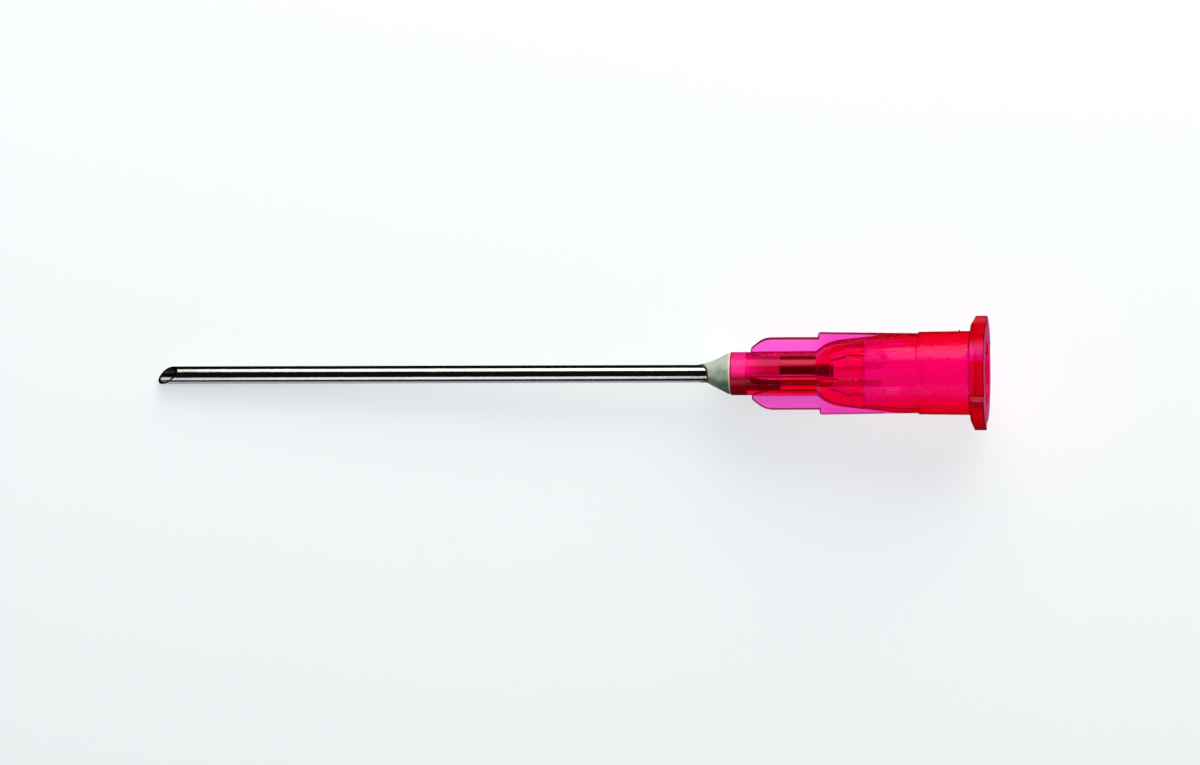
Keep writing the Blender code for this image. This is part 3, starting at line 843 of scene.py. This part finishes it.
class Finish:
    """A node tree that is written as expressions."""

    def __init__(self, tree):
        self.tree = tree
        tree.nodes.clear()

    def node(self, kind, settings=None, sockets=None, output=0):
        """Adds a node, sets what it is, then its sockets by link or value. A colour is its
        red, green and blue."""
        node = self.tree.nodes.new(kind)
        for name, value in (settings or {}).items():
            setattr(node, name, value)
        for name, value in (sockets or {}).items():
            socket = node.inputs[name]
            if isinstance(value, Signal):
                self.tree.links.new(value.socket, socket)
            elif socket.type == "RGBA":
                socket.default_value = (*value, 1.0)
            else:
                socket.default_value = value
        return Signal(self, node.outputs[output]) if node.outputs else None

    def math(self, operation, left, right):
        return self.node("ShaderNodeMath", {"operation": operation}, {0: left, 1: right})

    def below(self, value, limit):
        """1 where the value is below the limit, and otherwise 0."""
        return self.math("LESS_THAN", value, limit)

    def ramp(self, value, start, end):
        """0 at the start and 1 at the end, by an S curve."""
        return self.node("ShaderNodeMapRange", {"interpolation_type": "SMOOTHSTEP"},
                         {"Value": value, "From Min": start, "From Max": end})

    def blend(self, share, first, second):
        """Colour between two others."""
        return self.node("ShaderNodeMix", {"data_type": "RGBA"},
                         {"Factor": share, 6: first, 7: second}, output=2)

    def mix(self, share, first, second):
        """Shader between two others."""
        return self.node("ShaderNodeMixShader", None, {0: share, 1: first, 2: second})

    def along_needle(self, origin=(0.0, 0.0, 0.0), scale=(1.0, 1.0, 1.0)):
        """Object coordinates from an origin, turned so that X leads back out of the hub,
        then scaled."""
        place = self.node("ShaderNodeTexCoord", output="Object")
        tilt = math.asin(REAR_FACE["axis"][2])
        return self.node("ShaderNodeMapping", {"vector_type": "TEXTURE"}, {
            "Vector": place, "Location": tuple(origin), "Rotation": (0.0, -tilt, 0.0),
            "Scale": tuple(1 / size for size in scale)})

    def needle_place(self):
        """Distance from the needle's axis, height above the rear face, and how far from
        the axis it is sideways and upwards."""
        apart = self.node("ShaderNodeSeparateXYZ", None,
                          {"Vector": self.along_needle(FOOT_OF_AXIS)})
        back, sideways, upwards = [Signal(self, apart.socket.node.outputs[name])
                                   for name in "XYZ"]
        radius = (sideways * sideways + upwards * upwards) ** 0.5
        return radius, back * -1.0, sideways, upwards

    def noise(self, scale, detail=2.0, roughness=0.5):
        """Smooth noise whose features measure about one over the scale in each direction."""
        return self.node("ShaderNodeTexNoise", None, {
            "Vector": self.along_needle(scale=scale), "Scale": 1.0, "Detail": detail,
            "Roughness": roughness})

    def relief(self, *layers):
        """The normal of patterns laid over each other, each with its depth."""
        normal = None
        for pattern, depth in layers:
            sockets = {"Height": pattern, "Strength": 1.0, "Distance": depth}
            if normal is not None:
                sockets["Normal"] = normal
            normal = self.node("ShaderNodeBump", None, sockets)
        return normal

    def principled(self, sockets):
        return self.node("ShaderNodeBsdfPrincipled", None, sockets)

    def surface(self, shader, volume=None):
        sockets = {"Surface": shader}
        if volume is not None:
            sockets["Volume"] = volume
        self.node("ShaderNodeOutputMaterial", None, sockets)


def new_finish(name):
    material = bpy.data.materials.new(name)
    material.use_nodes = True
    return material, Finish(material.node_tree)


GROUND_EDGE = 0.005 * MM
GROUND_PAINTED_SHADE = (0.05, 0.05, 0.05)
DULL_SHARE = 0.92
CLOUD_ROUGHNESS = 0.08
HIDDEN_ROUGHNESS = 0.15
# Painted shade inside the bore, and painted light on its lower side
BORE_SHADE = 0.1
BORE_FROM = 0.7
BORE_LIT_FROM = -0.02 * MM
BORE_LIT_TO = -0.14 * MM


def drawn_steel(cannula, hub):
    """Bright drawn steel: long fine die lines, and faint clouds in its polish. Where the plastic
    hides it, it has its colour; the bore has painted shade except low down, where painted light
    falls, and the ground lip of the bevel has painted shade."""
    material, finish = new_finish("drawn_steel")
    radius, height, sideways, _ = finish.needle_place()
    clouds = finish.noise(STEEL_CLOUDS, detail=4.0)
    outer = cannula.diameter / 2
    hidden = finish.below(height, hub.length - WELL_DEPTH)
    outside = finish.blend(clouds, [part * DULL_SHARE for part in cannula.colour],
                           cannula.colour)
    outside = finish.blend(hidden, outside, hub.steel_tint)
    bore = finish.below(radius, outer - BORE_FROM * cannula.wall)
    inside = finish.blend(finish.ramp(sideways, BORE_LIT_FROM, BORE_LIT_TO),
                          [part * BORE_SHADE for part in cannula.colour], cannula.colour)
    # Painted shade: the ground lip of the bevel is painted near black
    ground = (finish.below(outer - cannula.wall + GROUND_EDGE, radius)
              * finish.below(radius, outer - GROUND_EDGE))
    finish.surface(finish.principled({
        "Base Color": finish.blend(ground, finish.blend(bore, outside, inside),
                                   GROUND_PAINTED_SHADE),
        "Metallic": 1.0,
        "Roughness": (clouds * CLOUD_ROUGHNESS + bore * HIDDEN_ROUGHNESS
                      + hidden * HIDDEN_ROUGHNESS + (cannula.roughness - CLOUD_ROUGHNESS / 2)),
        "Normal": finish.relief((finish.noise(DIE_LINES, detail=3.0), DIE_LINE_DEPTH),
                                (finish.noise(STEEL_RIPPLES), STEEL_RIPPLE_DEPTH))}))
    return material


# Where the tints of the plastic begin and end: by height above the rear face for the body, the
# fins and the well, and by the distance sideways from the axis for the painted shade on the
# body's edges and on the lower half of the nose
BODY_TINT_END = 9.4 * MM
BODY_EDGE = (1.8 * MM, 2.5 * MM)
STEP_BLEND = 0.8 * MM
WELL_BLEND = 0.3 * MM
NOSE_LOWER = (0.1 * MM, -0.9 * MM)
TAPER_MARGIN = 0.03 * MM
NOSE_MARGIN = 0.04 * MM
NOSE_EDGE = 0.09 * MM
SOCKET_MARGIN = 0.1 * MM

# How far the painted dark outlines reach in from the fins' edges
OUTLINE_DEPTH = 0.075 * MM
TOE_MARGIN = 0.03 * MM
FIN_FRONT_EASE = 0.55 * MM
FIN_TINT_END = 7.0 * MM
OUTLINE_BEHIND_STEP = 0.6


def fin_outline(finish, hub, radius, height):
    """1 close to the crest, the step and the front of a fin, where a dark outline of painted
    shade lies along its edge, and less behind the step.

    The crest ahead of the step is a level line and the front's slope, joined by a smooth
    minimum, and behind the step it falls with the height.
    """
    step = hub.length - FIN_STEP_SETBACK
    front = hub.length - FIN_FRONT_SETBACK
    slope = (front - height) * math.tan(FIN_FRONT_SLOPE) + (hub.nose_radius + FIN_FRONT_RISE)
    ahead_radius = finish.node("ShaderNodeMath", {"operation": "SMOOTH_MIN"}, {
        0: slope, 1: hub.fin_radius - hub.fin_step, 2: FIN_FRONT_EASE})
    behind_radius = (height - step) * math.tan(FIN_CREST_FALL) + hub.fin_radius
    ahead = finish.below(step - OUTLINE_DEPTH, height)
    crest = ahead * ahead_radius + (1.0 - ahead) * behind_radius - OUTLINE_DEPTH
    crest = finish.below(crest, radius) * finish.below(FIN_TINT_END, height)
    crest = crest * finish.below(height, front)
    toe = finish.below(front - OUTLINE_DEPTH, height)
    toe = toe * finish.below(hub.nose_radius + TOE_MARGIN, radius)
    return (crest + toe) * (ahead * (1.0 - OUTLINE_BEHIND_STEP) + OUTLINE_BEHIND_STEP)


def hub_tint(finish, hub, place):
    """Colour that the hub's surface gives the light, from the rear to the nose."""
    radius, height, sideways, _ = place
    # The fins, deeper behind their step, and the body, with painted shade at its sides
    step = hub.length - FIN_STEP_SETBACK
    fins = finish.blend(finish.ramp(height, step + STEP_BLEND, step - STEP_BLEND),
                        hub.tint, hub.fin_tint)
    edge = finish.ramp(sideways * sideways, BODY_EDGE[0] ** 2, BODY_EDGE[1] ** 2)
    body = finish.below(height, BODY_TINT_END)
    fall = body_front_radius(hub) - float(shaft_radius(hub, BODY_TINT_END))
    slope = fall / (BODY_TINT_END - BODY_FRONT_HEIGHT)
    within = finish.below(radius + height * slope,
                          body_front_radius(hub) + BODY_FRONT_HEIGHT * slope + TAPER_MARGIN)
    tint = finish.blend(body * within, fins, finish.blend(edge, hub.body_tint, hub.side_painted_shade))
    socket = finish.below(radius, hub.mouth_diameter / 2 + SOCKET_MARGIN)
    tint = finish.blend(socket * body, tint, hub.inner_tint)
    # Painted shade on the nose, in its lower half and behind the well
    nose = finish.below(hub.length - hub.nose_length, height)
    nose = nose * finish.below(radius, hub.nose_radius + NOSE_MARGIN)
    well_floor = hub.length - WELL_DEPTH
    lower = finish.ramp(sideways, *NOSE_LOWER)
    behind = finish.ramp(height, well_floor + WELL_BLEND, well_floor - WELL_BLEND)
    tint = finish.blend(nose * (lower + behind - lower * behind), tint, hub.nose_painted_shade)
    # Painted shade as dark outlines on the fins' edges and the nose's front edge
    edges = (fin_outline(finish, hub, radius, height)
             + finish.below(hub.length - NOSE_EDGE, height))
    return finish.blend(edges, tint, hub.outline_painted_shade)


# The flange: its band lies across it on one side, its edges have painted dark outlines on the
# rim, and the corners are those of the lug that shows, by their distance sideways from the axis
FLANGE_MARGIN = 0.02 * MM
FLANGE_BAND = 1.34 * MM
BAND_HALF = (0.65 * MM, 0.4 * MM)
REAR_MARGIN = 0.01 * MM
RIM_DEPTH = 0.1 * MM
REAR_EDGE = 0.09 * MM
FRONT_EDGE = 0.05 * MM
LUG_EDGE = 3.81 * MM
LUG_CORNERS = (-1.58 * MM, -2.02 * MM)
LUG_CORNER_HALF = 0.05 * MM
# Painted shade for the dark outlines on the flange's edges
FLANGE_PAINTED_OUTLINE = (0.02, 0.0, 0.0)
PIGMENT_MARGIN = 0.06 * MM
PIGMENT_GLOSS = 0.25
PIGMENT_ROUGHNESS = 0.15
PIGMENT_SHARE = 0.5
REAR_SHARE = 0.2
EDGE_SHARE = 0.3


def flange_band(finish, sideways):
    """1 in the band of the flange that light from the body reaches, and 0 beside it."""
    from_band = sideways - FLANGE_BAND
    return finish.ramp(from_band * from_band, BAND_HALF[0] ** 2, BAND_HALF[1] ** 2)


def flange_edges(finish, hub, place, rear):
    """1 where dark outlines of painted shade lie on the edges of the flange and its lugs, on the
    rim alone.
    """
    radius, height, sideways, upwards = place
    edges = finish.below(height, REAR_EDGE)
    edges = edges + finish.below(hub.flange_thickness - FRONT_EDGE, height)
    edges = edges + finish.below(LUG_EDGE ** 2, sideways * sideways)
    above = finish.below(hub.flange_diameter / 4, upwards)
    for corner in LUG_CORNERS:
        near = finish.below((sideways - corner) ** 2.0, LUG_CORNER_HALF ** 2)
        edges = edges + near * above
    return edges * (finish.below(hub.flange_diameter / 2 - RIM_DEPTH, radius) * (1.0 - rear))


def with_pigment(finish, hub, place, flange, shader, normal):
    """The shader, with a share of pigment that scatters light in the thick flange, and a painted
    glow that it emits.
    """
    radius, height, sideways, _ = place
    rear = finish.below(height, REAR_MARGIN)
    edges = flange_edges(finish, hub, place, rear)
    band = flange_band(finish, sideways)
    colour = finish.blend(rear, finish.blend(band, hub.pigment, hub.band_pigment),
                          hub.rear_pigment)
    # Painted glow that the flange and its rear face emit, none on the outlines
    glow = finish.blend(rear, hub.flange_painted_glow, hub.rear_painted_glow)
    pigment = finish.principled({
        "Base Color": finish.blend(edges, colour, FLANGE_PAINTED_OUTLINE),
        "Emission Color": finish.blend(edges, glow, BLACK), "Emission Strength": 1.0,
        "Specular IOR Level": PIGMENT_GLOSS, "Specular Tint": hub.gloss_tint,
        "Roughness": PIGMENT_ROUGHNESS, "Normal": normal})
    outer = finish.below(hub.mouth_diameter / 2 + PIGMENT_MARGIN, radius)
    share = rear * REAR_SHARE + edges * EDGE_SHARE + PIGMENT_SHARE
    return finish.mix(flange * outer * share, shader, pigment)


# Where the plastic is bonded to what it holds, which leaves no reflection
BONDED_RADIUS = 1.3 * MM
BONDED_DEPTH = 7.0 * MM
PLASTIC_IOR = 1.49

# The skin's grain is deepest on the sleeve, then on the body, and its pits are on both
SLEEVE_GRAIN = 0.6
BODY_GRAIN = 0.3
LEAST_GRAIN = 0.1
PIT_RANGE = (0.45, 0.6)
PIT_ROUGHNESS = 0.2
GRAIN_ROUGHNESS = 0.06
THICK_ROUGHNESS = 0.05


def moulded_plastic(hub):
    """Translucent moulded plastic: deep colour from its thickness, and a skin with the
    soft ripples of the flow and the fine grain of the tool."""
    material, finish = new_finish("moulded_plastic")
    place = finish.needle_place()
    radius, height, sideways, _ = place
    body = finish.below(height, BODY_TINT_END)
    sleeve = finish.below(height, SLEEVE_HEIGHT)
    flange = finish.below(height, hub.flange_thickness + FLANGE_MARGIN)

    in_flange = finish.blend(flange_band(finish, sideways), hub.flange_tint, hub.band_tint)
    socket = finish.below(radius, hub.mouth_diameter / 2 + SOCKET_MARGIN)
    in_flange = finish.blend(socket, in_flange, hub.band_tint)
    tint = finish.blend(flange, hub_tint(finish, hub, place), in_flange)

    grain = finish.noise(PLASTIC_GRAIN, detail=3.0)
    pits = finish.ramp(finish.noise(PLASTIC_PITS, detail=3.0), *PIT_RANGE)
    amount = sleeve * SLEEVE_GRAIN + body * BODY_GRAIN + LEAST_GRAIN
    normal = finish.relief((finish.noise(PLASTIC_FLOW, detail=1.0), PLASTIC_FLOW_DEPTH),
                           (grain * amount, PLASTIC_GRAIN_DEPTH))
    # Its emission is a painted glow
    clear = finish.principled({
        "Base Color": tint, "Emission Color": hub.glow, "Emission Strength": 1.0,
        "Transmission Weight": 1.0, "IOR": PLASTIC_IOR, "Specular Tint": hub.gloss_tint,
        "Roughness": (grain * GRAIN_ROUGHNESS + (hub.roughness - GRAIN_ROUGHNESS / 2)
                      + body * pits * PIT_ROUGHNESS),
        "Normal": normal})
    thick = finish.node("ShaderNodeBsdfGlass", None, {
        "Color": tint, "Roughness": THICK_ROUGHNESS, "IOR": PLASTIC_IOR, "Normal": normal})
    shader = finish.mix(flange, clear, thick)
    shader = with_pigment(finish, hub, place, flange, shader, normal)
    bonded = finish.below(radius, BONDED_RADIUS)
    bonded = bonded * finish.below(hub.length - BONDED_DEPTH, height)
    shader = finish.mix(bonded, shader, finish.node("ShaderNodeBsdfTransparent"))
    finish.surface(shader, finish.node("ShaderNodeVolumeAbsorption", None, {
        "Color": hub.depth_colour, "Density": hub.depth}))
    return material


# The resin: how far its painted light and shade, its painted highlight and its tints reach
# sideways from the axis, below the cone's tip, above the nose and into the well
LIT_SIDE = (-1.1 * MM, 0.8 * MM)
LIT_WAVER = 4 * MM
PATCH_SIDE = (-0.35 * MM, -0.8 * MM)
PATCH_FALL = (0.5 * MM, 1.2 * MM)
PATCH_CLOUDS = (0.35, 0.6)
RESIN_RIM = 0.09 * MM
RESIN_ROUGHNESS = 0.1
EDGE_RADIUS = 0.68 * MM
WELL_MOUTH = (2.6 * MM, 0.6 * MM)
WELL_SIDE = (0.2 * MM, -0.5 * MM)


def cured_resin(adhesive, hub):
    """Cured resin, satin and slightly cloudy: painted light makes it paler on the side towards
    the key light and painted shade darker on the other, it is darker at its thin edge, has
    painted shade in one patch and a painted highlight on its rim, and is coloured by the plastic
    round it where it fills the well, with painted shade on the well's side away from the key
    light."""
    material, finish = new_finish("cured_resin")
    radius, height, sideways, _ = finish.needle_place()
    clouds = finish.noise(RESIN_CLOUDS, detail=4.0, roughness=0.65)
    grain = finish.noise(RESIN_GRAIN, detail=3.0)
    # Painted light and shade: paler towards the key light, darker away from it
    lit = finish.ramp(sideways + (clouds - 0.5) * LIT_WAVER, *LIT_SIDE)
    colour = finish.blend(lit, adhesive.shade, adhesive.colour)
    fall = hub.length + adhesive.height - height
    # Painted shade in one patch on the side away from the key light
    patch = (finish.ramp(sideways, *PATCH_SIDE) * finish.ramp(fall, *PATCH_FALL)
             * finish.ramp(clouds, *PATCH_CLOUDS))
    colour = finish.blend(patch, colour, adhesive.patch_painted_shade)
    colour = finish.blend(finish.below(radius, EDGE_RADIUS), colour, adhesive.edge_colour)
    # Painted highlight along the rim
    colour = finish.blend(finish.below(height, hub.length + RESIN_RIM), colour,
                          adhesive.rim_painted_highlight)
    mouth = finish.ramp(height, hub.length - WELL_MOUTH[0], hub.length - WELL_MOUTH[1])
    filling = finish.blend(mouth, adhesive.well_colour, adhesive.mouth_colour)
    # Painted shade on the side of the filling away from the key light
    filling = finish.blend(finish.ramp(sideways, *WELL_SIDE), filling, adhesive.well_painted_shade)
    finish.surface(finish.principled({
        "Base Color": finish.blend(finish.below(height, hub.length), colour, filling),
        "Subsurface Weight": 0.3, "Subsurface Radius": (0.3, 0.4, 0.3),
        "Subsurface Scale": 0.3 * MM,
        "Roughness": grain * RESIN_ROUGHNESS + (adhesive.roughness - RESIN_ROUGHNESS / 2),
        "Normal": finish.relief((clouds, RESIN_CLOUD_DEPTH), (grain, RESIN_GRAIN_DEPTH))}))
    return material


def pale_floor(colour):
    material, finish = new_finish("pale_floor")
    finish.surface(finish.principled({
        "Base Color": colour, "Roughness": 0.9, "Specular IOR Level": 0.0}))
    return material


def glowing(colour):
    material, finish = new_finish("card")
    finish.surface(finish.node("ShaderNodeEmission", None, {"Color": colour, "Strength": 1.0}))
    return material


# Operators

class NEEDLE_OT_hub(bpy.types.Operator):
    """Make the moulded hub"""
    bl_idname = "needle.hub"
    bl_label = "Hub"

    def execute(self, context):
        hub = context.scene.needle_hub
        add_piece("moulded_hub", hub_points(hub), moulded_plastic(hub), "hub")
        return {"FINISHED"}


class NEEDLE_OT_cannula(bpy.types.Operator):
    """Make the steel cannula"""
    bl_idname = "needle.cannula"
    bl_label = "Cannula"

    def execute(self, context):
        cannula, hub = context.scene.needle_cannula, context.scene.needle_hub
        add_piece("steel_cannula", cannula_points(cannula, hub), drawn_steel(cannula, hub),
                  "cannula")
        return {"FINISHED"}


class NEEDLE_OT_adhesive(bpy.types.Operator):
    """Make the drop of cured adhesive"""
    bl_idname = "needle.adhesive"
    bl_label = "Adhesive"

    def execute(self, context):
        adhesive, hub = context.scene.needle_adhesive, context.scene.needle_hub
        points = adhesive_points(adhesive, hub, context.scene.needle_cannula)
        add_piece("adhesive_drop", points, cured_resin(adhesive, hub),
                  "adhesive")
        return {"FINISHED"}


FLOOR_HALF = 3.0
CARD_LEFT_FRONT = (-0.034, -0.011)
CARD_RIGHT_BACK = (0.0085, -0.0008)
CARD_HEIGHT = 0.01 * MM

# Each lamp leans over the needle by an angle from the zenith, towards +Y, has a width
# across the needle, and reaches from one X to another
LAMP_DISTANCE = 0.36
KEY_LAMP = (math.radians(61), 0.25, (-0.075, 0.4))
FILL_LAMP = (math.radians(-50.5), 0.21, (-0.08, -0.031))
ROOM_LAMP = (math.radians(34), 0.5, (-0.35, 0.35))

# The world is dim to the needle, less so through the plastic, and pale to the camera
WORLD_DIM = (0.005, 0.005, 0.005)
WORLD_THROUGH = (0.03, 0.03, 0.03)
WORLD_SEEN = (0.95, 0.95, 0.95)

SENSOR_WIDTH = 36.0
CLIP = (0.01, 10.0)
VIEW_CENTRE = (1.86 * MM, -0.73 * MM, 3.0 * MM)
CAMERA_LEAN = math.radians(2.1)
CAMERA_ROLL = math.radians(-0.16)


def flat_sheet(name, left_front, right_back, height, material):
    """A rectangle that faces up."""
    mesh = bpy.data.meshes.new(name)
    (left, front), (right, back) = left_front, right_back
    mesh.from_pydata([(left, front, height), (right, front, height), (right, back, height),
                      (left, back, height)], [], [(0, 1, 2, 3)])
    mesh.materials.append(material)
    sheet = bpy.data.objects.new(name, mesh)
    bpy.context.scene.collection.objects.link(sheet)
    return sheet


def softbox(name, place, radiance, colour=(1.0, 1.0, 1.0)):
    """An area lamp along the needle that leans over it. Its power is the radiance times
    its area times pi."""
    from_zenith, width, reach = place
    length = reach[1] - reach[0]
    lamp = bpy.data.lights.new(name, "AREA")
    lamp.shape = "RECTANGLE"
    lamp.size, lamp.size_y = length, width
    lamp.energy = radiance * length * width * math.pi
    lamp.color = colour
    holder = bpy.data.objects.new(name, lamp)
    bpy.context.scene.collection.objects.link(holder)
    holder.location = (sum(reach) / 2, LAMP_DISTANCE * math.sin(from_zenith),
                       LAMP_DISTANCE * math.cos(from_zenith))
    holder.rotation_euler = (-from_zenith, 0.0, 0.0)
    holder.visible_camera = False
    holder.visible_transmission = False
    return holder


class NEEDLE_OT_stage(bpy.types.Operator):
    """Make the floor, the lamps and the camera"""
    bl_idname = "needle.stage"
    bl_label = "Stage"

    def execute(self, context):
        stage = context.scene.needle_stage
        floor = flat_sheet("floor", (-FLOOR_HALF, -FLOOR_HALF), (FLOOR_HALF, FLOOR_HALF), 0.0,
                           pale_floor(stage.floor_colour))
        floor.visible_glossy = False
        self.add_lamps(stage, floor)
        self.add_card(stage)
        self.add_world()
        self.add_camera(stage)
        context.scene.view_settings.view_transform = "Standard"
        return {"FINISHED"}

    def add_lamps(self, stage, floor):
        """A key, a fill and the room's light, of which only the floor stops the last two."""
        softbox("key_softbox", KEY_LAMP, stage.key_power, stage.key_colour)
        fill = softbox("fill_softbox", FILL_LAMP, stage.fill_power)
        room = softbox("room_light", ROOM_LAMP, stage.room_power, stage.room_colour)
        room.visible_glossy = False
        blockers = bpy.data.collections.new("what blocks the soft lamps")
        blockers.objects.link(floor)
        for lamp in (fill, room):
            lamp.light_linking.blocker_collection = blockers

    def add_card(self, stage):
        """A glowing card on the floor below the cannula, seen only in reflections."""
        card = flat_sheet("card", CARD_LEFT_FRONT, CARD_RIGHT_BACK, CARD_HEIGHT,
                          glowing(stage.card_colour))
        card.visible_camera = card.visible_diffuse = card.visible_shadow = False
        card.visible_transmission = card.visible_volume_scatter = False

    def add_world(self):
        world = bpy.data.worlds.new("room")
        world.use_nodes = True
        bpy.context.scene.world = world
        room = Finish(world.node_tree)
        seen = room.node("ShaderNodeLightPath", output="Is Camera Ray")
        through = room.node("ShaderNodeLightPath", output="Is Transmission Ray")
        colour = room.blend(seen, room.blend(through, WORLD_DIM, WORLD_THROUGH), WORLD_SEEN)
        background = room.node("ShaderNodeBackground", None, {"Color": colour, "Strength": 1.0})
        room.node("ShaderNodeOutputWorld", None, {"Surface": background})

    def add_camera(self, stage):
        """Straight above, leaning a little towards the hub's rear, with a long lens."""
        camera = bpy.data.cameras.new("camera")
        camera.sensor_width = SENSOR_WIDTH
        camera.lens = SENSOR_WIDTH * stage.distance / stage.view_width
        camera.clip_start, camera.clip_end = CLIP
        holder = bpy.data.objects.new("camera", camera)
        bpy.context.scene.collection.objects.link(holder)
        x, y, z = VIEW_CENTRE
        holder.location = (x + stage.distance * math.sin(CAMERA_LEAN), y,
                           z + stage.distance * math.cos(CAMERA_LEAN))
        holder.rotation_euler = (0.0, CAMERA_LEAN, CAMERA_ROLL)
        bpy.context.scene.camera = holder


class NEEDLE_PT_panel(bpy.types.Panel):
    """The needle's pieces and its stage, in the sidebar"""
    bl_idname = "NEEDLE_PT_panel"
    bl_label = "Drawing-up needle"
    bl_space_type = "VIEW_3D"
    bl_region_type = "UI"
    bl_category = "Needle"

    def draw(self, context):
        for operator, group in STEPS:
            box = self.layout.box()
            box.operator(operator.bl_idname)
            settings = getattr(context.scene, group)
            for name in settings.__annotations__:
                box.prop(settings, name)


GROUPS = {
    "needle_cannula": CannulaSettings,
    "needle_hub": HubSettings,
    "needle_adhesive": AdhesiveSettings,
    "needle_stage": StageSettings,
}
STEPS = (
    (NEEDLE_OT_cannula, "needle_cannula"),
    (NEEDLE_OT_hub, "needle_hub"),
    (NEEDLE_OT_adhesive, "needle_adhesive"),
    (NEEDLE_OT_stage, "needle_stage"),
)
CLASSES = (*GROUPS.values(), *(operator for operator, _ in STEPS), NEEDLE_PT_panel)


def register():
    for each in CLASSES:
        bpy.utils.register_class(each)
    for name, group in GROUPS.items():
        setattr(bpy.types.Scene, name, PointerProperty(type=group))


def unregister():
    for name in GROUPS:
        delattr(bpy.types.Scene, name)
    for each in reversed(CLASSES):
        bpy.utils.unregister_class(each)


def main():
    register()
    bpy.ops.needle.cannula()
    bpy.ops.needle.hub()
    bpy.ops.needle.adhesive()
    bpy.ops.needle.stage()


if __name__ == "__main__":
    main()
